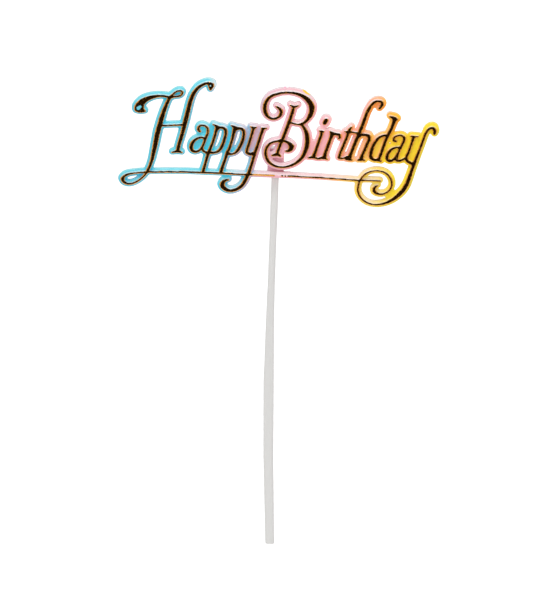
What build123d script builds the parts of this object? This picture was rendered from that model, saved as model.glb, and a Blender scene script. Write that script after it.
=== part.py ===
"""Birthday cake topper: a moulded script plate, foiled on its raised letters, on a plastic stick."""
import os
from cmath import phase, rect
from math import acos, ceil, pi, sin

from build123d import *

os.makedirs("parts", exist_ok=True)

# Sizes are in millimetres. X runs along the words, Y runs back from the reader and Z runs up the stick.
STICK_LENGTH = 150.0
STICK_DIAMETER = 2.8      # round end that sits in the socket
STICK_BOW = 3.0           # the tip lies this far to the right of the socket's axis
BEND_TOP = 96.0           # height where the bow in the stick starts
NECK = 1.0                # round stretch of the stick that shows below the socket
SOCKET_DEPTH = 8.6
SOCKET_DROP = 1.0         # the socket's mouth lies this far below the base line
SOCKET_CLEARANCE = 0.05   # on the radius, between the stick and its socket
SOCKET_WIDTH = 6.15
SOCKET_FRONT_WALL = 0.85
SOCKET_BACK_WALL = 1.15
SOCKET_TOP_WALL = 2.5
PLATE_THICKNESS = 1.9
RIM = 1.08                # border of the plate around the raised letters
UNDERLINE_RIM = 0.95      # border of the plate around the underline
RIB_HEIGHT = 1.2
RIB_SPREAD = 0.1          # the ribs and their foil reach this far past the drawn strokes on each side
FOIL_THICKNESS = 0.12
LETTER_RISE = 1.022       # heights in the strokes below are stretched by this
TURN_SHARE = 0.8          # the inner side of a turn reaches this far towards the turn's centre
OPEN_SIDE = 100.0         # reach of a stroke's side where no turn limits it
STRAIGHT_TURN = 0.03      # a side that turns less than this, in radians, is drawn straight
CHORD_ERROR = 0.07        # round stretches of the lettering are drawn as chords, this close to the curve
# Below the neck the stick is pressed oval: (share of the height to the neck, width across).
STICK_WIDTHS = [(0.91, 2.85), (0.84, 2.7), (0.71, 2.75), (0.6, 3.2), (0.44, 4.0), (0.24, 3.85), (0.0, 3.45)]

SOCKET_X = -STICK_BOW
BORE_RADIUS = STICK_DIAMETER / 2 + SOCKET_CLEARANCE
PLATE_BACK = BORE_RADIUS + SOCKET_FRONT_WALL
RIB_FACE = PLATE_BACK + PLATE_THICKNESS + RIB_HEIGHT
SOCKET_MOUTH = STICK_LENGTH - SOCKET_DEPTH
BASE_LINE = SOCKET_MOUTH + SOCKET_DROP

# Each stroke of the lettering is a run of (across, up, width) from the socket's axis and the base line.
CAPITAL_H = [
    [(-40.5, 28.4, 1.0), (-41.6, 26, 1.2), (-43.5, 20, 1.65), (-44.7, 15, 1.75), (-45.5, 10, 1.6),
     (-46.4, 5, 1.15), (-47.2, 2.2, 0.95), (-48.2, 0, 0.9)],
    [(-47.8, 0.6, 0.9), (-49, -1.2, 0.65), (-51, -3.1, 0.6), (-53.3, -4.4, 0.55), (-55.2, -4.65, 0.65),
     (-56.8, -3.95, 0.95), (-57.3, -2.75, 1.2)],
    [(-57.3, -2.9, 1.2), (-56.4, -1.6, 0.85), (-55, -0.95, 0.6), (-53, -0.55, 0.5), (-51, -0.25, 0.45),
     (-48, 0.05, 0.45)],
    [(-40.7, 28.3, 0.8), (-43.2, 28.7, 0.65), (-46, 28.45, 1.0), (-48.7, 27.6, 1.6), (-50.9, 26.2, 2.3),
     (-51.9, 24.2, 3.5)],
    [(-51.9, 23.8, 3.7), (-50.9, 23.1, 2.0), (-49.7, 22.8, 0.6)],
    [(-41, 27.9, 0.7), (-40.1, 28.9, 0.55), (-38.8, 30.1, 0.55), (-37.4, 30.85, 0.55), (-36.5, 30.85, 0.55)],
    [(-36.9, 30.9, 0.55), (-36.1, 30.7, 0.55), (-35.85, 30.1, 0.55)],
    [(-35.85, 30.2, 0.55), (-36.3, 29.3, 0.55), (-37.3, 28.75, 0.55)],
    [(-37, 28.9, 0.55), (-39.2, 28.5, 0.6), (-40.8, 28.0, 0.8)],
    [(-44, 17.6, 0.5), (-42, 17.65, 0.5), (-39, 17.9, 0.5), (-35, 18.2, 0.6)],
    [(-36.9, 8.6, 1.25), (-36.6, 10.5, 1.2), (-35.4, 15, 1.3), (-34.35, 20, 1.6), (-33.3, 25, 1.5),
     (-32.2, 29, 1.35), (-30.5, 31.9, 1.15), (-28.3, 33.5, 0.95), (-26.2, 34.15, 0.75), (-24.7, 33.8, 0.75)],
    [(-25.3, 33.2, 2.3), (-25.45, 32.0, 1.1)],
    [(-39, 7.75, 0.45), (-37.8, 8.05, 0.75), (-36.9, 8.2, 0.9), (-36, 8.05, 0.7), (-35.3, 7.8, 0.4)],
]
FIRST_A = [
    [(-28.8, 15.95, 0.8), (-29.5, 16.7, 0.9), (-29.3, 17.7, 0.75), (-28.2, 18.3, 0.6)],
    [(-28.6, 18.25, 0.6), (-26.9, 18.05, 0.65), (-26, 17.2, 0.75), (-25.8, 16.2, 0.8), (-26.4, 14, 0.85),
     (-27.1, 12, 0.8), (-27.75, 10, 0.75)],
    [(-27.75, 10, 0.75), (-27.4, 8.8, 0.7), (-26.4, 8.2, 0.7), (-25.4, 8.2, 0.6)],
    [(-27, 13.4, 0.6), (-28.5, 13.7, 0.6), (-30, 13.1, 0.8), (-31.4, 11.8, 1.1), (-31.9, 10.2, 1.35),
     (-31.6, 8.9, 1.2), (-30.6, 8.25, 0.8), (-29.3, 8.5, 0.7), (-28.3, 9.4, 0.65), (-27.6, 10.6, 0.6)],
]
FIRST_P = [
    [(-22.6, 17.6, 1.2), (-23.1, 15, 0.95), (-23.9, 12, 0.9), (-24.6, 10, 0.95), (-25.4, 8, 1.1),
     (-25.95, 6, 1.0), (-26.4, 4, 0.9), (-27.1, 1.3, 1.1)],
    [(-24, 18.75, 0.35), (-23.1, 18.35, 0.7), (-22.2, 17.9, 0.9)],
    [(-22.4, 17, 0.9), (-21.5, 17.6, 0.8), (-20.5, 17.7, 0.8), (-19.5, 17.2, 0.95), (-19.1, 16.2, 1.1),
     (-19.3, 14.3, 1.0), (-19.9, 12, 1.0), (-20.7, 10, 1.0), (-21.7, 8.8, 0.85), (-23, 8.2, 0.65),
     (-24.7, 8.2, 0.9)],
]
SECOND_P = [
    [(-15.9, 17.4, 1.3), (-16.4, 14.5, 0.95), (-17, 12, 0.9), (-17.6, 10, 0.95), (-18.4, 8.2, 1.1),
     (-18.95, 6, 0.95), (-19.6, 4, 0.95), (-20.4, 1.3, 1.2)],
    [(-17.2, 18.6, 0.35), (-16.3, 18.2, 0.8), (-15.4, 17.8, 1.0)],
    [(-15.6, 16.9, 0.9), (-14.8, 17.5, 0.9), (-13.6, 17.6, 0.85), (-12.6, 17, 1.0), (-12.3, 15.8, 1.05),
     (-12.5, 14, 1.0), (-13.1, 12, 1.05), (-14, 10, 1.05), (-15.1, 8.6, 0.8), (-16.3, 7.9, 0.55),
     (-17.8, 8.0, 0.9)],
]
FIRST_Y = [
    [(-8.9, 17.5, 1.1), (-9.25, 16, 0.95), (-9.75, 14, 0.9), (-10.3, 12, 0.95), (-10.9, 10, 1.05),
     (-11, 8.8, 1.1), (-10.2, 8.2, 0.9), (-8.7, 8.5, 1.0)],
    [(-9.9, 18.35, 0.4), (-8.9, 18.1, 0.7), (-7.8, 18.15, 0.45)],
    [(-5.3, 17.4, 1.05), (-5.8, 16, 1.0), (-6.9, 12, 1.0), (-8, 8.4, 1.1), (-9.1, 4, 1.0), (-9.9, 1.2, 1.2),
     (-11.2, -1.8, 1.25), (-12.6, -4, 1.15), (-14.7, -5.4, 1.0), (-17, -5.85, 1.0), (-18.9, -5.1, 1.4),
     (-19.8, -3.7, 1.75), (-19.2, -2.4, 1.2), (-17.5, -1.8, 0.6)],
    [(-5.8, 18.1, 0.4), (-5, 17.9, 0.7), (-3.9, 18, 0.4)],
]
UNDERLINE_LEFT = [[(-48.2, 0, 0.5), (-33, 0.6, 0.55), (-15, 0.5, 0.55), (-1.2, 0.45, 0.55)]]
UNDERLINE_WORN = [[(-1.2, 0.45, 0.55), (5.6, 0.45, 0.55)]]
UNDERLINE_RIGHT = [
    [(5.6, 0.45, 0.45), (18, 0.25, 0.45), (31.5, -0.25, 0.45)],
    [(31.5, -0.25, 0.45), (35, -0.1, 0.45), (39.4, -0.15, 0.5)],
]
CAPITAL_B = [
    [(-0.5, 26.3, 0.5), (0.5, 25.7, 0.85), (1.3, 24.9, 1.15), (1.3, 23.6, 1.15), (0.3, 22.3, 0.8),
     (-1.3, 21.6, 0.75), (-3, 22, 0.9), (-4.4, 23.6, 1.3), (-4.9, 25.8, 1.4)],
    [(-4.9, 25.5, 1.4), (-4.4, 28, 1.2), (-3, 29.8, 1.0), (-1, 30.8, 0.85), (1.4, 31.5, 0.75),
     (4, 31.7, 0.7), (7, 31.35, 0.95), (9.5, 30.4, 1.3), (11.5, 28.9, 1.8), (12.8, 26.6, 2.1),
     (12.5, 24, 1.7), (11.4, 21.9, 1.1), (9.3, 20.1, 0.8), (8.3, 19.8, 0.6)],
    [(5.95, 26, 1.1), (5.6, 24.6, 1.15), (4.9, 22, 1.15), (4.2, 19.8, 1.2), (3.3, 17.2, 1.2),
     (2.4, 14.6, 1.15), (1.5, 12.2, 1.05), (0.7, 9.8, 1.0), (0.5, 8.4, 1.2)],
    [(4.6, 27.05, 0.4), (5.4, 26.6, 0.6), (6.2, 26.4, 0.7), (7.1, 26.6, 0.55), (7.7, 26.95, 0.4)],
    [(-1.5, 7.9, 0.5), (-0.5, 8.2, 0.95), (0.4, 8.5, 1.3), (1.1, 8.2, 0.95), (1.7, 7.7, 0.5)],
    [(4.5, 20.7, 0.8), (5.6, 20.3, 0.55), (7, 19.95, 0.5), (9, 19.85, 0.6)],
    [(8.8, 20.1, 0.8), (10.3, 18.5, 1.05), (11.3, 16.2, 1.5), (11.6, 13.5, 1.75), (11.1, 10.5, 1.45),
     (9.7, 7.4, 1.15), (7.3, 5.2, 0.9), (4.6, 4, 0.7), (1.8, 3.65, 0.65), (-0.8, 4.2, 0.8)],
    [(-0.6, 4.15, 0.8), (-2.8, 5.7, 1.0), (-3.9, 8.2, 1.05), (-3.8, 10.2, 1.0), (-2.8, 12, 0.85),
     (-1.2, 13, 0.7), (0.6, 13.4, 0.7), (2.2, 13.9, 0.9)],
    [(1.6, 13.7, 0.9), (3.2, 13.4, 0.8), (4.8, 12.7, 1.15), (5.7, 11.6, 2.0), (5.3, 10.4, 1.5),
     (4.2, 9.75, 0.8), (3.5, 9.75, 0.4)],
]
DOT = [[(17.75, 20.75, 1.4), (18.4, 21.85, 1.5)]]
LETTER_I = [
    [(16.85, 17.1, 1.15), (16.6, 16, 1.05), (15.5, 12.4, 1.0), (14.7, 9.8, 1.1), (14.1, 8, 1.4)],
    [(16, 17.75, 0.4), (16.9, 17.6, 0.6), (17.7, 17.6, 0.4)],
    [(12.3, 7.5, 0.5), (13.2, 7.8, 0.8), (14.2, 7.9, 1.1), (15.6, 7.3, 0.5), (17, 7.7, 0.9)],
]
LETTER_R = [
    [(20.7, 17, 1.4), (20.4, 15.6, 1.2), (19.5, 12.8, 1.1), (18.6, 10, 1.15), (18.2, 8.2, 1.35)],
    [(20, 17.6, 0.6), (21, 17.1, 0.9)],
    [(16.6, 7.6, 0.7), (17.6, 7.7, 0.9), (18.5, 7.6, 0.9), (19.3, 7.2, 0.4)],
    [(20.7, 16.6, 1.2), (21.9, 16.8, 0.9), (23.2, 16.7, 0.95)],
    [(23, 16.75, 0.95), (23.75, 16.1, 0.95), (23.3, 15.2, 0.65)],
]
LETTER_T = [
    [(27.9, 19.6, 0.6), (27.3, 18.6, 1.0), (26.8, 17.4, 1.1), (26.3, 15.6, 0.95), (25.1, 12.5, 0.95),
     (24.1, 9.8, 0.95), (23.7, 8.3, 1.0)],
    [(23.6, 8, 0.9), (24.6, 7.7, 0.5), (25.7, 7.95, 0.45), (26.8, 8.4, 0.9)],
    [(25.6, 17.85, 0.4), (26.6, 17.7, 0.8), (28, 17.75, 0.6), (29.5, 17.5, 0.55), (31, 17.2, 0.8)],
]
LETTER_H = [
    [(38.1, 26.9, 0.7), (38.8, 27.8, 0.95), (39.2, 28.7, 1.05), (38.6, 29.6, 0.85)],
    [(38.9, 29.3, 0.9), (37.5, 29.7, 0.7), (36, 29.1, 0.9), (34.7, 27.5, 1.05), (33.5, 25.2, 1.15)],
    [(33.6, 25.5, 1.15), (32.2, 21, 1.2), (31, 17.6, 1.3), (29.6, 14, 1.15), (28.2, 10, 1.15),
     (27.5, 8, 1.6)],
    [(26.3, 7.6, 0.75), (27.5, 7.6, 1.2), (28.6, 7.3, 0.55)],
    [(30.9, 16.2, 1.1), (31.8, 16.85, 0.9), (33.2, 16.9, 0.9), (34.5, 16.6, 1.1)],
    [(34.3, 16.7, 1.1), (34.85, 15.8, 1.35), (34.2, 14, 1.1), (33.4, 11.8, 1.0), (32.5, 9.6, 1.05),
     (32, 8, 1.4)],
    [(30.8, 7.3, 0.55), (31.9, 7.6, 1.0), (33.3, 7.3, 0.5)],
]
LETTER_D = [
    [(44, 23, 1.6), (43.6, 21.5, 1.2), (42.7, 19, 1.1), (41.7, 17, 1.1), (40.9, 15, 1.05),
     (40.2, 12.7, 1.05), (39.4, 10.2, 1.0), (38.8, 8.3, 1.1)],
    [(42.1, 24.1, 0.5), (43.2, 23.7, 0.95), (44.2, 23.4, 1.05), (45.1, 23.1, 0.55)],
    [(37.4, 7.6, 0.8), (38.5, 7.6, 1.0), (39.5, 7.2, 0.55)],
    [(41.6, 16.9, 0.8), (40.3, 16.9, 0.7), (38.8, 16.3, 0.85), (37.3, 14.8, 1.0), (36.3, 12.7, 1.1),
     (35.6, 10.3, 1.3), (35.75, 8.4, 1.35), (37, 7.65, 0.9), (38.4, 7.9, 0.8)],
]
SECOND_A = [
    [(44.9, 14.95, 0.7), (44.1, 15.1, 0.85), (43.9, 15.9, 0.8), (44.7, 16.75, 0.6)],
    [(44.3, 16.5, 0.6), (46.2, 17.15, 0.6), (47.5, 16.8, 0.85), (48, 15.9, 0.95), (47.6, 14.7, 0.85),
     (46.8, 13, 0.9), (46, 11, 0.9), (45.4, 9, 0.85)],
    [(45.5, 9.3, 0.85), (45.3, 7.9, 0.9)],
    [(45.2, 7.7, 0.8), (46.4, 7.6, 0.7), (47.8, 8.2, 0.7), (48.7, 8.8, 0.6)],
    [(46.5, 12.7, 0.6), (45.2, 12.65, 0.55), (43.7, 12.1, 0.7), (42.4, 10.9, 0.95), (41.75, 9.3, 1.2)],
    [(41.8, 9.5, 1.2), (41.9, 8, 1.25), (42.9, 7.4, 0.95), (44.2, 8.1, 0.8), (45, 9.3, 0.7),
     (45.6, 10.5, 0.6)],
]
SECOND_Y = [
    [(51.35, 16.5, 1.0), (51.15, 15.8, 1.0), (50.5, 13.6, 0.9), (49.7, 11, 0.9), (48.9, 8.9, 1.0),
     (49.3, 7.7, 1.0), (50.4, 7, 0.95), (51.5, 6.6, 1.0)],
    [(50.3, 17.05, 0.5), (51.6, 16.9, 0.6), (53.1, 17, 0.45)],
    [(59.1, 18.2, 0.8), (59.3, 19.2, 1.3), (58.9, 20.1, 1.1)],
    [(59.1, 19.8, 1.15), (58.2, 20.4, 0.85), (57.2, 20.1, 0.8), (56.2, 18.9, 0.85), (55.4, 17, 0.9)],
    [(55.5, 17.3, 0.9), (54.6, 14.5, 0.9), (53.8, 12, 0.9), (52.9, 9.5, 1.0), (52.1, 7.2, 1.2),
     (51.2, 4.4, 1.2), (50.3, 1.4, 1.35), (49.4, -1.2, 1.5), (47.9, -3.7, 1.5), (45.9, -5.8, 1.3),
     (43.4, -7.6, 1.0), (40.6, -8.75, 0.65), (37.6, -9.1, 0.5)],
    [(37.8, -9.1, 0.45), (34.8, -8.5, 0.5), (32.6, -6.9, 0.6), (31.3, -4.6, 0.7), (31.3, -2.1, 0.65),
     (32.1, 0.2, 0.5), (33.7, 2.2, 0.5), (36, 3.3, 0.4), (38.8, 3.6, 0.4)],
    [(38.6, 3.6, 0.4), (41.5, 2.8, 0.55), (43.4, 0.8, 0.65), (43.9, -1.5, 0.65), (42.9, -3.7, 0.55),
     (41, -4.95, 0.5), (39.2, -5.1, 0.65), (37.6, -4.4, 1.2), (37.2, -3.3, 1.1), (37.7, -2.4, 0.65),
     (38.6, -1.95, 0.4)],
]
# Places where the plate's border is wider, above the tallest letters, and then places where it is closed
# between strokes: bowls, curls and the gaps between neighbouring letters.
PLATE_FILLS = [
    [(-30.5, 32.1, 3.3), (-28.3, 33.75, 3.1), (-26.2, 34.4, 2.9), (-24.7, 34.05, 2.9)],
    [(-3, 30.05, 3.15), (-1, 31.1, 3.0), (1.4, 31.8, 2.9), (4, 32, 2.85), (7, 31.65, 3.1), (9.5, 30.7, 3.45)],
    [(34.7, 27.7, 3.2), (36, 29.3, 3.05), (37.5, 29.9, 2.85), (38.7, 29.6, 3.05)],
    [(42.1, 24.35, 2.65), (43.2, 23.95, 3.1), (44.2, 23.65, 3.2), (45.1, 23.35, 2.7)],
    [(56.2, 19.3, 3.0), (57.2, 20.55, 2.95), (58.2, 20.85, 3.0), (59.1, 20.25, 3.3)],
    [(-38.6, 29.5, 1.6), (-36.9, 29.9, 2.2)],
    [(-30.3, 9.8, 2.2), (-28.8, 12.6, 2.2)],
    [(-28.3, 16.8, 2.2), (-27.2, 16.6, 2.2)],
    [(-26.3, 10, 1.8), (-24.3, 17.6, 1.8)],
    [(-18.6, -3.2, 1.6), (-18.2, -2.8, 1.6)],
    [(-18.1, 15.5, 1.4), (-17.8, 17.9, 1.2)],
    [(-10.1, 9.9, 1.8), (-9.3, 10.2, 1.8)],
    [(2.4, 9.8, 1.4), (3.7, 11.2, 2.2)],
    [(12.8, 8.8, 2.0), (13.9, 13.4, 1.4)],
    [(15.9, 9.2, 2.0), (18.7, 17.4, 1.8)],
    [(17.75, 20.6, 4.2), (18.4, 21.85, 4.2)],
    [(31, 9.5, 1.1), (33.4, 15.8, 1.2)],
    [(33.8, 8.8, 1.4), (34.3, 10.4, 1.4)],
    [(36.5, 27.6, 1.6), (37.4, 28.6, 1.4)],
    [(37.1, 9.2, 2.0), (39.4, 15, 2.0)],
    [(41.8, 12.9, 1.4), (42.5, 13.2, 1.0)],
    [(43.2, 14.3, 1.2), (43.7, 14, 1.2)],
    [(42.2, -6, 1.4), (44.6, -4.2, 1.4)],
    [(43.5, 9.2, 2.2), (44.8, 11.2, 2.2)],
    [(45.6, 15.4, 2.2), (46.4, 15.6, 2.2)],
    [(46.9, 9.4, 2.2), (49.2, 15.5, 2.2)],
    [(50.8, 8.8, 2.4), (53.2, 15.5, 2.2)],
    [(57.4, 18.6, 1.4), (58.1, 19, 1.4)],
]

# The foil lies in islands: letters that run into one another share one, and the underline's is worn through.
FOIL_ISLANDS = {
    "foil_happy": CAPITAL_H + FIRST_A + FIRST_P + SECOND_P + FIRST_Y + UNDERLINE_LEFT,
    "foil_b": CAPITAL_B,
    "foil_dot": DOT,
    "foil_ir": LETTER_I + LETTER_R,
    "foil_th": LETTER_T + LETTER_H,
    "foil_d": LETTER_D,
    "foil_ay": SECOND_A + SECOND_Y + UNDERLINE_RIGHT,
}
UNDERLINE = UNDERLINE_LEFT + UNDERLINE_WORN + UNDERLINE_RIGHT
LETTERS = [stroke for island in FOIL_ISLANDS.values() for stroke in island if stroke not in UNDERLINE]


def unit(vector):
    """The same direction with length 1."""
    return vector / abs(vector)


def headings_along(centres):
    """Directions of a stroke at its stations: inside it, that of the circle through three neighbours."""
    steps = [after - before for before, after in zip(centres, centres[1:])]
    inner = [unit(a / abs(a) ** 2 + b / abs(b) ** 2) for a, b in zip(steps, steps[1:])] or [unit(steps[0])]
    first = unit(steps[0]) ** 2 * inner[0].conjugate()
    last = unit(steps[-1]) ** 2 * inner[-1].conjugate()
    return [first] + inner + [last] if len(steps) > 1 else [first, last]


def turn_limits(centres):
    """How far each side of a stroke may reach at its stations, so that the inside of a turn never folds."""
    limits = []
    for before, here, after in zip(centres, centres[1:], centres[2:]):
        turn = ((here - before).conjugate() * (after - here)).imag
        radius = abs(here - before) * abs(after - here) * abs(after - before) / max(2 * abs(turn), 0.001)
        limits.append((TURN_SHARE * radius, OPEN_SIDE) if turn > 0 else (OPEN_SIDE, TURN_SHARE * radius))
    limits = limits or [(OPEN_SIDE, OPEN_SIDE)]
    return [limits[0]] + limits + [limits[-1]]


def round_stretch(start, end, turn):
    """Points from the start up to the end, which is left out, on an arc that turns by this much."""
    if abs(turn) < STRAIGHT_TURN:
        return [start]
    radius = abs(end - start) / 2 / abs(sin(turn / 2))
    chords = ceil(abs(turn) / 2 / acos(1 - CHORD_ERROR / max(radius, CHORD_ERROR)))
    shares = [step / chords for step in range(chords)]
    reach = (end - start) / sin(turn / 2)
    return [start + reach * sin(share * turn / 2) * rect(1, (share - 1) * turn / 2) for share in shares]


def side_points(points, headings):
    """One side of a stroke: an arc from each station to the next."""
    turns = [phase(arrive / leave) for leave, arrive in zip(headings, headings[1:])]
    stretches = [round_stretch(*ends) for ends in zip(points, points[1:], turns)]
    return sum(stretches, []) + [points[-1]]


def stroke_face(stations, border=0.0):
    """One round-ended stroke as a flat face, widened all round by the border."""
    centres = [complex(x + SOCKET_X, z * LETTER_RISE + BASE_LINE) for x, z, width in stations]
    headings = headings_along(centres)
    left = []
    right = []
    for centre, heading, limit, station in zip(centres, headings, turn_limits(centres), stations):
        half = station[2] / 2 + border
        left.append(centre + 1j * heading * min(half, limit[0]))
        right.append(centre - 1j * heading * min(half, limit[1]))
    head = round_stretch(left[-1], right[-1], -pi)
    tail = round_stretch(right[0], left[0], -pi)
    loop = side_points(left, headings)[:-1] + head + side_points(right, headings)[:0:-1] + tail
    with BuildLine() as outline:
        Polyline(*[(point.real, point.imag) for point in loop], close=True)
    return make_face(outline.edges(), mode=Mode.PRIVATE)


with BuildPart() as letter_plate:
    with BuildSketch(Plane.XZ.offset(PLATE_BACK)):
        add([stroke_face(stroke, RIM) for stroke in LETTERS])
        add([stroke_face(stroke, UNDERLINE_RIM) for stroke in UNDERLINE])
        add([stroke_face(stroke) for stroke in PLATE_FILLS])
    extrude(amount=PLATE_THICKNESS)
    with BuildSketch(Plane.XZ.offset(PLATE_BACK + PLATE_THICKNESS / 2)):
        add([stroke_face(stroke, RIB_SPREAD) for stroke in LETTERS + UNDERLINE])
    extrude(amount=PLATE_THICKNESS / 2 + RIB_HEIGHT)
    # Socket block behind the base line and the capital B.
    socket_back = BORE_RADIUS + SOCKET_BACK_WALL
    with BuildSketch(Plane.XY.offset(SOCKET_MOUTH)):
        with Locations((SOCKET_X, (socket_back - PLATE_BACK) / 2)):
            Rectangle(SOCKET_WIDTH, socket_back + PLATE_BACK)
    extrude(amount=SOCKET_DEPTH + SOCKET_TOP_WALL)
    with BuildSketch(Plane.XY.offset(SOCKET_MOUTH)):
        with Locations((SOCKET_X, 0)):
            Circle(BORE_RADIUS)
    extrude(amount=SOCKET_DEPTH, mode=Mode.SUBTRACT)
letter_plate.part.label = "letter_plate"
export_step(letter_plate.part, "parts/letter_plate.step")

for name, strokes in FOIL_ISLANDS.items():
    with BuildPart() as foil:
        with BuildSketch(Plane.XZ.offset(RIB_FACE)):
            add([stroke_face(stroke, RIB_SPREAD) for stroke in strokes])
        extrude(amount=FOIL_THICKNESS)
    foil.part.label = name
    export_step(foil.part, "parts/" + name + ".step")

with BuildPart() as stick:
    neck = SOCKET_MOUTH - NECK
    for share, width in [(1.0, STICK_DIAMETER)] + STICK_WIDTHS:
        height = share * neck
        lean = max(BEND_TOP - height, 0) / BEND_TOP
        with BuildSketch(Plane.XY.offset(height)):
            with Locations((SOCKET_X + STICK_BOW * lean ** 2, 0)):
                Ellipse(width / 2, min(width, STICK_DIAMETER ** 2 / width) / 2)
    loft(ruled=True)
    with BuildSketch(Plane.XY.offset(neck)):
        with Locations((SOCKET_X, 0)):
            Circle(STICK_DIAMETER / 2)
    extrude(amount=STICK_LENGTH - neck)
stick.part.label = "stick"
export_step(stick.part, "parts/stick.step")
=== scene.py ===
"""Looks of a birthday cake topper: sprayed plastic script with gold foil on its ribs, on a white stick."""

import math

import bmesh
import bpy
import numpy as np
from mathutils import Matrix, Vector
from mathutils.bvhtree import BVHTree


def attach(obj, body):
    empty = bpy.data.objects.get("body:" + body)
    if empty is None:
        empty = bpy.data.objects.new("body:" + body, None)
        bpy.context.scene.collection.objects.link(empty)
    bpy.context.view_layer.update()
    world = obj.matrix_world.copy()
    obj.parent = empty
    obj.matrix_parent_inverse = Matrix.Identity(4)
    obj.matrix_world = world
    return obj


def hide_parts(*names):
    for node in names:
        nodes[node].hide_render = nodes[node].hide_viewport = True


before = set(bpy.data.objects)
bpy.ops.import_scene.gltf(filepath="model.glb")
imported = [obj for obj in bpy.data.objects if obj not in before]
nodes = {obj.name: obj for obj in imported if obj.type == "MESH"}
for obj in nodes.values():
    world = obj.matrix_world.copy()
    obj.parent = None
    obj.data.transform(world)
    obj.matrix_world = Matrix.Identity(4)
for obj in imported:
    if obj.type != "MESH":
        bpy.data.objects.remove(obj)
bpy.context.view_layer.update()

MM = 0.001
FOILS = ["foil_happy", "foil_b", "foil_dot", "foil_ir", "foil_th", "foil_d", "foil_ay"]

# The moulding, in millimetres, with depths along Y. Corners from RIM_BACK to RIB_SHOULDER are smoothed most,
# which rounds the plate's edge and leaves the ribs' faces flat.
GRID = 0.16
WELD = 0.001
RIM_BACK = -3.0
PLATE_FACE = -4.2
RIB_SHOULDER = -4.95
RIB_HEIGHT = 1.2
RIM_ROUNDS = 28
EDGE_ROUNDS = 1
SMOOTH_SHARE = 0.5
BODY_TRIANGLES = 130000

# The foil covers the ribs down to FOIL_LIP, apart from walls that face up, with a normal's Z over
# TOP_WALL. It takes the CAD island within FOIL_REACH, lies FOIL_LIFT off the plastic and is FOIL_SKIN thick.
FOIL_LIP = -4.85
TOP_WALL = 0.5
FOIL_REACH = 0.75
FOIL_LIFT = 0.105
FOIL_SKIN = 0.08
FOIL_EDGE = 40.0
RIM_PASSES = 8

# Spots where the foil didn't take, as across, up and radius, and flecks of foil left on the worn
# underline, as across and half a width.
BARE_SPOTS = [(-55.2, 166.7, 0.75), (-54.6, 167.3, 0.6), (-28.5, 176.3, 0.35)]
FLECKS = [(-0.4, 0.45), (0.75, 0.4), (1.8, 0.2)]
UNDERLINE_TOP = 144.2

# Left of the stick the underline's face sinks towards its lower edge, so it leans down and mirrors the floor.
SUNK_LEFT, SUNK_RIGHT = -11.6, -2.0
SUNK_BLEND = 0.5
SUNK_SLOPE = 0.55
SUNK_MOST = 0.5

STICK_GRID = 0.2
STICK_ROUNDS = 12
STICK_TRIANGLES = 24000


def in_scene(name, data):
    """A new object in the scene, from a mesh, a lamp or a camera."""
    thing = bpy.data.objects.new(name, data)
    bpy.context.scene.collection.objects.link(thing)
    return thing


def merged_copy(node):
    """A copy of a CAD node's mesh with its corners joined, in millimetres."""
    mesh = nodes[node].data.copy()
    mesh.transform(Matrix.Scale(1 / MM, 4))
    work = bmesh.new()
    work.from_mesh(mesh)
    bmesh.ops.remove_doubles(work, verts=work.verts, dist=WELD)
    work.to_mesh(mesh)
    work.free()
    return mesh


def settle(piece):
    """Turns a piece's modifiers into its mesh."""
    depsgraph = bpy.context.evaluated_depsgraph_get()
    mesh = bpy.data.meshes.new_from_object(piece.evaluated_get(depsgraph))
    piece.modifiers.clear()
    piece.data = mesh


def gridded(node, name, grid):
    """A new object with the shape of a CAD node on an even grid of faces, still in millimetres."""
    piece = in_scene(name, merged_copy(node))
    remesh = piece.modifiers.new("grid", "REMESH")
    remesh.mode = "VOXEL"
    remesh.voxel_size = grid
    settle(piece)
    return piece


def corner_rows(mesh, key):
    """The places or the normals of a mesh's corners, one row for each."""
    rows = np.empty(len(mesh.vertices) * 3, np.float32)
    mesh.vertices.foreach_get(key, rows)
    return rows.reshape(-1, 3)


def quads_of(mesh):
    """The corners' numbers of a gridded mesh's faces, which all have four."""
    quads = np.empty(len(mesh.loops), np.int32)
    mesh.loops.foreach_get("vertex_index", quads)
    return quads.reshape(-1, 4)


def soften(piece, rounds, chosen=None):
    """Rounds a piece's edges by rounds of smoothing, on the chosen corners only if they are given."""
    smooth = piece.modifiers.new("soften", "SMOOTH")
    smooth.factor = SMOOTH_SHARE
    smooth.iterations = rounds
    if chosen is not None:
        group = piece.vertex_groups.new(name="soft")
        group.add(chosen.tolist(), 1.0, "REPLACE")
        smooth.vertex_group = group.name
    settle(piece)
    piece.vertex_groups.clear()


def thin_out(piece, triangles):
    """Brings a piece down to a number of triangles."""
    count = len(piece.data.loops) - 2 * len(piece.data.polygons)
    if count > triangles:
        decimate = piece.modifiers.new("thin", "DECIMATE")
        decimate.ratio = triangles / count
        settle(piece)


def to_metres(piece):
    """Brings a piece from millimetres to metres."""
    piece.data.transform(Matrix.Scale(MM, 4))
    piece.data.update()


def smooth_shaded(mesh):
    """Shades all faces of a mesh smooth."""
    mesh.polygons.foreach_set("use_smooth", [True] * len(mesh.polygons))


# The letter plate: a gridded copy with a full round on the plate's edges and a small one on the ribs.

moulding = gridded("letter_plate", "moulded_script", GRID)
sharp = corner_rows(moulding.data, "co")
flanks = (sharp[:, 1] > RIB_SHOULDER) & (sharp[:, 1] < RIM_BACK)
soften(moulding, RIM_ROUNDS, np.flatnonzero(flanks))
soften(moulding, EDGE_ROUNDS)

soft = corner_rows(moulding.data, "co")
normals = corner_rows(moulding.data, "normal")
quads = quads_of(moulding.data)


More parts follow.
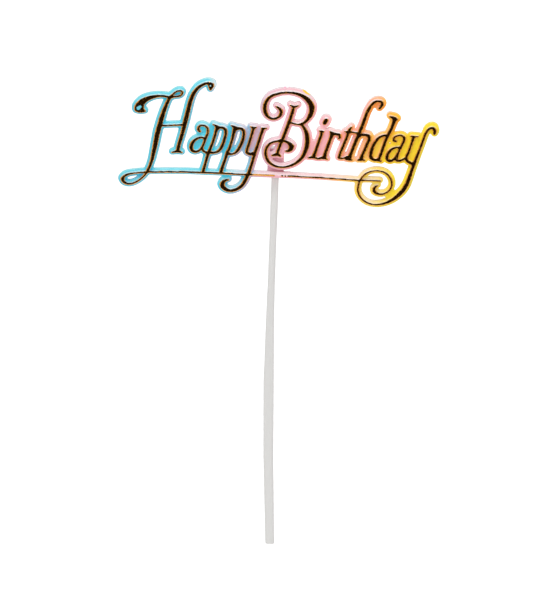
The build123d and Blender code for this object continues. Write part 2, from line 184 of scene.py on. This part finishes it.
def lean_underline(points):
    """Sinks the underline's rib towards its lower edge, left of the stick."""
    across, _, up = points.T
    stretch = (across > SUNK_LEFT) & (across < SUNK_RIGHT) & (up < UNDERLINE_TOP)
    face = stretch & (sharp[:, 1] < RIB_SHOULDER)
    middle = np.polyfit(across[face], up[face], 1)
    offset = up - np.polyval(middle, across)
    drop = np.clip(offset[face].max() - offset, 0, None)
    ends = np.minimum(across - SUNK_LEFT, SUNK_RIGHT - across) / SUNK_BLEND
    share = np.clip(ends, 0, 1) * SUNK_SLOPE * drop / RIB_HEIGHT
    over_plate = np.minimum(points[:, 1] - PLATE_FACE, 0)
    points[stretch, 1] -= (over_plate * np.clip(share, 0, SUNK_MOST))[stretch]


lean_underline(soft)
moulding.data.vertices.foreach_set("co", soft.ravel())
moulding.data.update()


# The foil: the rib faces and their shoulders, lifted off the plastic as a thin skin, a piece for each island.

trees = []
for node in FOILS:
    foil_mesh = merged_copy(node)
    foil_faces = [tuple(face.vertices) for face in foil_mesh.polygons]
    trees.append(BVHTree.FromPolygons([tuple(v.co) for v in foil_mesh.vertices], foil_faces))


def island_at(point):
    """Number of the foil island that covers a point of the ribs, or -1 where the plastic is bare."""
    across, _, up = point
    for spot_across, spot_up, radius in BARE_SPOTS:
        if math.hypot(across - spot_across, up - spot_up) < radius:
            return -1
    for fleck_across, half_width in FLECKS:
        if abs(across - fleck_across) < half_width and up < UNDERLINE_TOP:
            return len(FOILS) - 1
    best, best_distance = -1, FOIL_REACH
    for number, tree in enumerate(trees):
        distance = tree.find_nearest(Vector(point), FOIL_REACH)[3]
        if distance is not None and distance < best_distance:
            best, best_distance = number, distance
    return best


def even_rim(points, faces):
    """Evens out the rim of an open skin, by moving each of its corners towards its neighbours on the rim."""
    sides = np.sort(np.stack([faces, np.roll(faces, -1, axis=1)], axis=2).reshape(-1, 2), axis=1)
    sides, uses = np.unique(sides, axis=0, return_counts=True)
    rim = sides[uses == 1]
    neighbours = np.bincount(rim.ravel(), minlength=len(points))
    on_rim = neighbours > 0
    for _ in range(RIM_PASSES):
        total = np.zeros_like(points)
        np.add.at(total, rim[:, 0], points[rim[:, 1]])
        np.add.at(total, rim[:, 1], points[rim[:, 0]])
        points[on_rim] = (points[on_rim] + total[on_rim] / neighbours[on_rim, None]) / 2


face_depth = sharp[quads, 1].mean(axis=1)
upward = normals[quads, 2].mean(axis=1) > TOP_WALL
raised = np.flatnonzero((face_depth < FOIL_LIP) & ~upward)
islands = np.array([island_at(point) for point in sharp[quads[raised]].mean(axis=1).astype(float)])

foil_pieces = []
for number, node in enumerate(FOILS):
    faces = quads[raised[islands == number]]
    used, renumbered = np.unique(faces, return_inverse=True)
    renumbered = renumbered.reshape(-1, 4)
    skin = soft[used] + FOIL_LIFT * normals[used]
    even_rim(skin, renumbered)
    mesh = bpy.data.meshes.new(node + "_skin")
    mesh.from_pydata((skin * MM).tolist(), [], renumbered.tolist())
    mesh.update()
    smooth_shaded(mesh)
    piece = in_scene(node + "_skin", mesh)
    backing = piece.modifiers.new("backing", "SOLIDIFY")
    backing.thickness = FOIL_SKIN * MM
    backing.offset = -1.0
    settle(piece)
    piece.data.set_sharp_from_angle(angle=math.radians(FOIL_EDGE))
    foil_pieces.append(piece)
    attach(piece, "sign")
    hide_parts(node)

thin_out(moulding, BODY_TRIANGLES)
to_metres(moulding)
smooth_shaded(moulding.data)
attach(moulding, "sign")
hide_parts("letter_plate")


# The stick, with the small kinks of its sections smoothed away and its end slightly rounded.

stick = gridded("stick", "plastic_stick", STICK_GRID)
soften(stick, STICK_ROUNDS)
thin_out(stick, STICK_TRIANGLES)
to_metres(stick)
smooth_shaded(stick.data)
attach(stick, "stick")
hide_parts("stick")


# Materials


def linear(red, green, blue):
    """An sRGB colour of 0 to 255 as the linear colour of a shader socket."""
    parts = []
    for part in (red, green, blue):
        share = part / 255
        parts.append(share / 12.92 if share <= 0.04045 else ((share + 0.055) / 1.055) ** 2.4)
    return (*parts, 1.0)


def new_material(name):
    """A new material, with its node tree and its shader."""
    material = bpy.data.materials.new(name)
    material.use_nodes = True
    tree = material.node_tree
    return material, tree, tree.nodes["Principled BSDF"]


def set_finish(shader, finish):
    """Sets a shader's own sockets to plain values."""
    for socket, value in finish.items():
        shader.inputs[socket].default_value = value


def node_of(tree, kind, **settings):
    """A new node with its settings."""
    node = tree.nodes.new(kind)
    for key, value in settings.items():
        setattr(node, key, value)
    return node


def math_node(tree, operation, first, second, clamp=False):
    """A Math node on two inputs, each a socket or a number."""
    node = node_of(tree, "ShaderNodeMath", operation=operation, use_clamp=clamp)
    for slot, value in zip(node.inputs, (first, second)):
        if isinstance(value, (int, float)):
            slot.default_value = value
        else:
            tree.links.new(value, slot)
    return node.outputs[0]


def map_range(tree, value, low, high, to_low, to_high):
    """A clamped Map Range node on a socket."""
    node = node_of(tree, "ShaderNodeMapRange", clamp=True)
    tree.links.new(value, node.inputs["Value"])
    for slot, number in (("From Min", low), ("From Max", high), ("To Min", to_low), ("To Max", to_high)):
        node.inputs[slot].default_value = number
    return node.outputs["Result"]


def mixed(tree, factor, first, second):
    """A colour Mix node from one colour to another, each a socket or a plain colour."""
    node = node_of(tree, "ShaderNodeMix", data_type="RGBA")
    tree.links.new(factor, node.inputs["Factor"])
    for slot, colour in (("A", first), ("B", second)):
        if isinstance(colour, tuple):
            node.inputs[slot].default_value = colour
        else:
            tree.links.new(colour, node.inputs[slot])
    return node.outputs["Result"]


def fill_ramp(ramp, stops):
    """Sets a colour ramp's stops, given as (position, colour)."""
    elements = ramp.color_ramp.elements
    while len(elements) > 1:
        elements.remove(elements[-1])
    elements[0].position, elements[0].color = stops[0]
    for position, colour in stops[1:]:
        elements.new(position).color = colour


def seen_directly(tree):
    """One for what the camera, a mirror or glass sees, and zero for what only lights the part."""
    path = node_of(tree, "ShaderNodeLightPath")
    direct = math_node(tree, "ADD", path.outputs["Is Camera Ray"], path.outputs["Is Glossy Ray"])
    return math_node(tree, "ADD", direct, path.outputs["Is Transmission Ray"], clamp=True)


# Spray paint, in millimetres. The colour runs along the words, and on the last letters its bands lean to the
# right with height.
# A side that faces left or up caught more of the colour to its left, and one that faces right or down more of
# the colour to its right. Sides that face up are paler, partly thin paint and partly a painted highlight, and
# sides that face right or down carry painted shade. The colour deepens in the hollows, partly pooled paint
# and partly painted shade. It is orange on the tall last letters and paler on the swirl, and the ledges over
# the ribs are near white, partly thin paint and partly a painted highlight. It misses the back.

SPRAY_LEFT, SPRAY_RIGHT = -65.0, 62.0
LEAN_LEVEL = 151.5
SWIRL_SHIFT = 9.0
TAIL_SHIFT = -4.0
CLOUD_SCALE = 220.0
HOLLOW_REACH = 1.8
FRONT_COLOURS = [
    (-60, (102, 194, 212)),
    (-30, (98, 202, 222)),
    (-20, (102, 194, 220)),
    (-15, (156, 186, 214)),
    (-11, (220, 180, 192)),
    (-4, (236, 184, 198)),
    (16, (246, 186, 190)),
    (22, (248, 178, 166)),
    (28, (252, 188, 122)),
    (33, (250, 204, 84)),
    (38, (248, 212, 40)),
    (58, (242, 218, 46)),
]
# Colours of sides that face up: paler, partly from thinner paint and partly a painted highlight of the light
# from above.
TOP_LIT_COLOURS = [
    (-60, (134, 220, 230)),
    (-38, (138, 226, 236)),
    (-29, (176, 230, 236)),
    (-18, (230, 221, 228)),
    (-10, (234, 214, 220)),
    (14, (240, 220, 220)),
    (22, (242, 222, 214)),
    (28, (246, 216, 190)),
    (33, (250, 214, 122)),
    (38, (250, 220, 76)),
    (58, (250, 228, 84)),
]
# Colours in the hollows, set by ambient occlusion: partly paint pooled deeper, partly painted shade.
HOLLOW_SHADE_COLOURS = [
    (-60, (40, 178, 220)),
    (-30, (54, 214, 236)),
    (-20, (52, 200, 232)),
    (-14, (150, 188, 220)),
    (-8, (218, 162, 178)),
    (16, (246, 164, 166)),
    (24, (252, 164, 120)),
    (30, (254, 194, 110)),
    (35, (248, 216, 40)),
    (58, (242, 212, 16)),
]
# Colours of sides that face right or down: partly the spray's colour there, partly painted shade.
UNDER_SHADE_COLOURS = [
    (-60, (130, 206, 220)),
    (-30, (146, 198, 214)),
    (-18, (192, 182, 206)),
    (-6, (232, 156, 168)),
    (16, (246, 160, 158)),
    (24, (254, 166, 96)),
    (33, (250, 184, 64)),
    (40, (244, 200, 50)),
    (58, (214, 192, 66)),
]
PALE_SPRAY = (244, 228, 216)
ORANGE_SPRAY = (250, 136, 36)
# Near white for the ribs' upward ledges: a painted highlight of the light from above, over thin paint.
LEDGE_HIGHLIGHT_WHITE = (255, 252, 250)
BARE_PLASTIC = (238, 236, 233)

# Ramps of the paint, each as the two ends of what it follows and the two values that it has there. They
# follow the place across, the height, the depth, one axis of the normal, the cloud or the hollows.
LEAN_ACROSS = (5.0, 30.0, 0.0, -0.3)
RIGHT_PULL_ACROSS = (-36.0, -18.0, 26.0, 9.0)
LEFT_PULL_ACROSS = (10.0, 25.0, 5.0, 9.0)
CLOUD_DRIFT = (0.0, 1.0, -3.0, 3.0)
UNDER_WORDS = (149.0, 145.5, 0.0, 1.0)
SWIRL_ACROSS = (14.0, 27.0, 0.0, 1.0)
TAIL_ACROSS = (-6.0, -14.0, 0.0, 1.0)
TOP_FACING = (0.05, 0.5, 0.0, 1.0)
SHADED_FACING = (0.1, 0.8, 0.0, 1.0)
HOLLOW_SHADE = (0.5, 0.88, 1.0, 0.0)
SWIRL_PALE_ACROSS = (33.0, 41.0, 1.0, 0.0)
SWIRL_PALE_FACING = (0.0, 0.5, 0.12, 0.72)
TALL_HEIGHT = (156.0, 163.0, 0.0, 0.65)
TALL_START_ACROSS = (23.0, 29.0, 0.0, 1.0)
TALL_END_ACROSS = (50.0, 42.0, 0.0, 1.0)
TALL_TOP_FACING = (0.3, 0.0, 0.45, 1.0)
TALL_LEFT_FACING = (-0.5, 0.0, 0.0, 1.0)
LEDGE_DEPTH = (-4.4, -4.52, 0.0, 0.9)
LEDGE_FACING = (0.35, 0.65, 0.0, 1.0)
LEDGE_START_ACROSS = (-24.0, -10.0, 0.6, 1.0)
LEDGE_END_ACROSS = (22.0, 34.0, 1.0, 0.45)
BACK_FACING = (0.75, 0.98, 0.0, 1.0)

# Shares of the normal's X and Z that pull the colour along, and that put a side in the shade.
PULL_SHARES = (0.85, -0.5)
SHADE_SHARES = (0.7, -0.8)

# Smears on the paint, as colour, across, up, half length, half width, tilt in degrees and the share of the
# ellipse with full cover: the pale end of the H's curl, and a yellow smear and two pink specks on the B.
PAINT_SMEARS = [
    ((204, 222, 226), -26.0, 177.0, 3.6, 4.5, 0.0, 0.3),
    ((255, 204, 60), 7.6, 174.9, 2.0, 0.6, -31.0, 0.75),
    ((246, 150, 184), -0.6, 176.6, 0.5, 0.4, 0.0, 0.75),
    ((246, 150, 184), 1.2, 176.8, 0.5, 0.4, 0.0, 0.75),
]
SMEAR_DEPTH = 1000.0

sprayed, tree, shader = new_material("sprayed_fade")
place = node_of(tree, "ShaderNodeTexCoord")
split_place = node_of(tree, "ShaderNodeSeparateXYZ")
tree.links.new(place.outputs["Object"], split_place.inputs[0])
split_normal = node_of(tree, "ShaderNodeSeparateXYZ")
tree.links.new(place.outputs["Normal"], split_normal.inputs[0])
across, depth, up = [math_node(tree, "MULTIPLY", split_place.outputs[axis], 1 / MM) for axis in "XYZ"]
facing_right, facing_back, facing_up = [split_normal.outputs[axis] for axis in "XYZ"]


def follow(value, ends):
    """A ramp of the paint on a socket."""
    return map_range(tree, value, *ends)


def together(operation, *values):
    """A sum or a product of several values, each a socket or a number."""
    result = values[0]
    for value in values[1:]:
        result = math_node(tree, operation, result, value)
    return result


def turned(shares):
    """How far a side turns to the right and down, by shares of its normal's X and Z."""
    right_share, up_share = shares
    right_part = together("MULTIPLY", facing_right, right_share)
    return together("ADD", right_part, together("MULTIPLY", facing_up, up_share))


def spray_ramp(colours):
    """A colour ramp along the words, from stops in millimetres."""
    ramp = node_of(tree, "ShaderNodeValToRGB")
    length = SPRAY_RIGHT - SPRAY_LEFT
    fill_ramp(ramp, [((at - SPRAY_LEFT) / length, linear(*colour)) for at, colour in colours])
    tree.links.new(share, ramp.inputs["Fac"])
    return ramp.outputs["Color"]


def smear(colour_below, colour, across_at, up_at, half_length, half_width, tilt, core):
    """A smear of another colour, an ellipse tilted in the plane of the letters, full inside its core."""
    spot = node_of(tree, "ShaderNodeMapping", vector_type="TEXTURE")
    spot.inputs["Location"].default_value = (across_at * MM, 0, up_at * MM)
    spot.inputs["Rotation"].default_value = (0, math.radians(-tilt), 0)
    spot.inputs["Scale"].default_value = (half_length * MM, SMEAR_DEPTH, half_width * MM)
    tree.links.new(place.outputs["Object"], spot.inputs["Vector"])
    reach = node_of(tree, "ShaderNodeVectorMath", operation="LENGTH")
    tree.links.new(spot.outputs["Vector"], reach.inputs[0])
    cover = map_range(tree, reach.outputs["Value"], core, 1.0, 1.0, 0.0)
    return mixed(tree, cover, colour_below, linear(*colour))


# Where along the fade a point takes its colour.

lean = together("MULTIPLY", together("SUBTRACT", up, LEAN_LEVEL), follow(across, LEAN_ACROSS))
pulled = turned(PULL_SHARES)
right_shift = together("MULTIPLY", together("MAXIMUM", pulled, 0.0), follow(across, RIGHT_PULL_ACROSS))
left_shift = together("MULTIPLY", together("MINIMUM", pulled, 0.0), follow(across, LEFT_PULL_ACROSS))
cloud = node_of(tree, "ShaderNodeTexNoise")
cloud.inputs["Scale"].default_value = CLOUD_SCALE
tree.links.new(place.outputs["Object"], cloud.inputs["Vector"])
drift = follow(cloud.outputs["Fac"], CLOUD_DRIFT)
under_words = follow(up, UNDER_WORDS)
in_swirl = together("MULTIPLY", under_words, follow(across, SWIRL_ACROSS))
in_tail = together("MULTIPLY", under_words, follow(across, TAIL_ACROSS))
swirl_slide = together("MULTIPLY", in_swirl, SWIRL_SHIFT)
tail_slide = together("MULTIPLY", in_tail, TAIL_SHIFT)
along = together("ADD", across, lean, swirl_slide, tail_slide, right_shift, left_shift, drift)
share = map_range(tree, along, SPRAY_LEFT, SPRAY_RIGHT, 0.0, 1.0)

# The coats, one over the other, with painted light and shade among them.

hollow = node_of(tree, "ShaderNodeAmbientOcclusion", samples=8)
hollow.inputs["Distance"].default_value = HOLLOW_REACH * MM
# Sides that face up take the paler colours, partly thin paint and partly a painted highlight.
top_lit = mixed(tree, follow(facing_up, TOP_FACING), spray_ramp(FRONT_COLOURS), spray_ramp(TOP_LIT_COLOURS))
# Sides that face right or down take the painted shade colours.
side_shaded = mixed(tree, follow(turned(SHADE_SHARES), SHADED_FACING), top_lit, spray_ramp(UNDER_SHADE_COLOURS))
# Hollows take a deeper colour by ambient occlusion, partly pooled paint and partly painted shade.
hollow_shaded = mixed(tree, follow(hollow.outputs["AO"], HOLLOW_SHADE), side_shaded, spray_ramp(HOLLOW_SHADE_COLOURS))
pale_swirl = together(
    "MULTIPLY",
    in_swirl,
    follow(across, SWIRL_PALE_ACROSS),
    follow(facing_up, SWIRL_PALE_FACING),
)
paled = mixed(tree, pale_swirl, hollow_shaded, linear(*PALE_SPRAY))
orange_tall = together(
    "MULTIPLY",
    follow(up, TALL_HEIGHT),
    follow(across, TALL_START_ACROSS),
    follow(across, TALL_END_ACROSS),
    follow(facing_up, TALL_TOP_FACING),
    follow(facing_right, TALL_LEFT_FACING),
)
warmed = mixed(tree, orange_tall, paled, linear(*ORANGE_SPRAY))
# The upward ledges over the ribs turn near white: partly thin paint, partly a painted highlight of the light
# from above.
painted_ledge_highlight = together(
    "MULTIPLY",
    follow(depth, LEDGE_DEPTH),
    follow(facing_up, LEDGE_FACING),
    follow(across, LEDGE_START_ACROSS),
    follow(across, LEDGE_END_ACROSS),
)
paint = mixed(tree, painted_ledge_highlight, warmed, linear(*LEDGE_HIGHLIGHT_WHITE))
for spot in PAINT_SMEARS:
    paint = smear(paint, *spot)
coloured = mixed(tree, follow(facing_back, BACK_FACING), paint, linear(*BARE_PLASTIC))
tree.links.new(coloured, shader.inputs["Base Color"])
set_finish(
    shader,
    {"Roughness": 0.32, "Specular IOR Level": 0.3, "Coat Weight": 0.3, "Coat Roughness": 0.1},
)
moulding.data.materials.clear()
moulding.data.materials.append(sprayed)


# Gold foil: a mirror with fine crinkles.

GOLD = (216, 150, 66)
CRINKLE_SCALE = 900.0
CRINKLE_DETAIL = 3.0
CRINKLE_STRENGTH = 0.65
CRINKLE_DEPTH = 0.36

gold, tree, shader = new_material("hot_stamped_gold")
set_finish(shader, {"Base Color": linear(*GOLD), "Metallic": 1.0, "Roughness": 0.1})
place = node_of(tree, "ShaderNodeTexCoord")
ripple = node_of(tree, "ShaderNodeTexNoise")
ripple.inputs["Scale"].default_value = CRINKLE_SCALE
ripple.inputs["Detail"].default_value = CRINKLE_DETAIL
tree.links.new(place.outputs["Object"], ripple.inputs["Vector"])
crinkle = node_of(tree, "ShaderNodeBump")
crinkle.inputs["Strength"].default_value = CRINKLE_STRENGTH
crinkle.inputs["Distance"].default_value = CRINKLE_DEPTH * MM
tree.links.new(ripple.outputs["Fac"], crinkle.inputs["Height"])
tree.links.new(crinkle.outputs["Normal"], shader.inputs["Normal"])
for piece in foil_pieces:
    piece.data.materials.append(gold)


# Satin white plastic of the stick

STICK_WHITE = (211, 210, 208)

satin, tree, shader = new_material("satin_white_plastic")
set_finish(shader, {"Base Color": linear(*STICK_WHITE), "Roughness": 0.42})
stick.data.materials.clear()
stick.data.materials.append(satin)


# Stage: a white floor, soft light from above, in front and behind, and a dark strip in front of the sign.
# Flat foil mirrors the strip, and the foil's rounded edges mirror the white above and below it.

SIGN_MIDDLE = Vector((-0.002, -0.0055, 0.157))
FLOOR_REACH = 6.0
PAPER = (244, 244, 244)
PAPER_GLOW, PAPER_GLOW_SEEN = 0.2, 0.5
SKY, SKY_SEEN = 0.55, 1.0
WHITE = (1, 1, 1, 1)
FELT = (0.024, 0.019, 0.016, 1)
FLAG_FORWARD = 0.5
FLAG_BELOW, FLAG_ABOVE = 0.15, 0.9
FLAG_WIDTH = 0.46
FLAG_LOWEST, FLAG_HIGHEST = -77.0, 26.0
FLAG_STEPS = 36


def floor_sheet(name):
    """A square on the ground."""
    mesh = bpy.data.meshes.new(name)
    turns = [(-1, -1), (1, -1), (1, 1), (-1, 1)]
    corners = [(FLOOR_REACH * side, FLOOR_REACH * end, 0) for side, end in turns]
    mesh.from_pydata(corners, [], [(0, 1, 2, 3)])
    sheet = in_scene(name, mesh)
    return sheet


def curved_flag(name):
    """A strip in front of the sign, bent in an oval round the sign's long axis, that only mirrors see."""
    rows = []
    for step in range(FLAG_STEPS + 1):
        tilt = math.radians(FLAG_LOWEST + (FLAG_HIGHEST - FLAG_LOWEST) * step / FLAG_STEPS)
        lift = math.sin(tilt) * (FLAG_ABOVE if tilt > 0 else FLAG_BELOW)
        rise = Vector((0, -math.cos(tilt) * FLAG_FORWARD, lift))
        for side in (-FLAG_WIDTH / 2, FLAG_WIDTH / 2):
            rows.append(SIGN_MIDDLE + rise + Vector((side, 0, 0)))
    mesh = bpy.data.meshes.new(name)
    faces = [(2 * step, 2 * step + 1, 2 * step + 3, 2 * step + 2) for step in range(FLAG_STEPS)]
    mesh.from_pydata([tuple(row) for row in rows], [], faces)
    flag = in_scene(name, mesh)
    flag.visible_camera = False
    flag.visible_diffuse = False
    flag.visible_shadow = False
    flag.visible_transmission = False
    return flag


def soft_light(name, centre, size, watts, mirrored):
    """A square lamp aimed at the sign, which the foil mirrors or not."""
    data = bpy.data.lights.new(name, "AREA")
    data.size = size
    data.energy = watts
    lamp = in_scene(name, data)
    lamp.location = centre
    lamp.rotation_euler = (SIGN_MIDDLE - Vector(centre)).to_track_quat("-Z", "Y").to_euler()
    lamp.visible_glossy = mirrored


floor = floor_sheet("floor")
paper, tree, shader = new_material("white_paper")
set_finish(
    shader,
    {"Base Color": linear(*PAPER), "Roughness": 0.9, "Specular IOR Level": 0.1, "Emission Color": WHITE},
)
glow = map_range(tree, seen_directly(tree), 0.0, 1.0, PAPER_GLOW, PAPER_GLOW_SEEN)
tree.links.new(glow, shader.inputs["Emission Strength"])
floor.data.materials.append(paper)

front_flag = curved_flag("front_flag")
felt, tree, shader = new_material("black_felt")
set_finish(shader, {"Base Color": FELT, "Roughness": 1.0, "Specular IOR Level": 0.0})
front_flag.data.materials.append(felt)

soft_light("top_light", centre=(-0.09, -0.33, 0.72), size=0.2, watts=1.25, mirrored=True)
soft_light("front_fill", centre=(0.0, -1.25, 0.45), size=0.9, watts=4.9, mirrored=False)
soft_light("back_fill", centre=(0.0, 1.25, 0.5), size=0.9, watts=2.4, mirrored=False)

world = bpy.data.worlds.new("studio")
bpy.context.scene.world = world
world.use_nodes = True
sky = world.node_tree.nodes["Background"]
sky.inputs["Color"].default_value = WHITE
lit = map_range(world.node_tree, seen_directly(world.node_tree), 0.0, 1.0, SKY, SKY_SEEN)
world.node_tree.links.new(lit, sky.inputs["Strength"])

bpy.context.scene.view_settings.view_transform = "Standard"


# Camera: a long lens, 12 degrees above the sign and rolled a little, as in the photo.

ELEVATION = math.radians(12.0)
FIELD_HEIGHT = 0.22365
LENS = 1000.0
SENSOR = 36.0
CLIP_END = 50.0
ROLL = math.radians(2.09)
AIM = Vector((-0.0046, -0.00552, 0.0960))

camera_data = bpy.data.cameras.new("camera")
camera_data.lens = LENS
camera_data.sensor_width = SENSOR
camera_data.clip_end = CLIP_END
camera = in_scene("camera", camera_data)
back = Vector((0, -math.cos(ELEVATION), math.sin(ELEVATION)))
camera.location = AIM + back * (FIELD_HEIGHT * LENS / SENSOR)
level = back.to_track_quat("Z", "Y")
camera.rotation_euler = (level.to_matrix() @ Matrix.Rotation(ROLL, 3, "Z")).to_euler()
bpy.context.scene.camera = camera
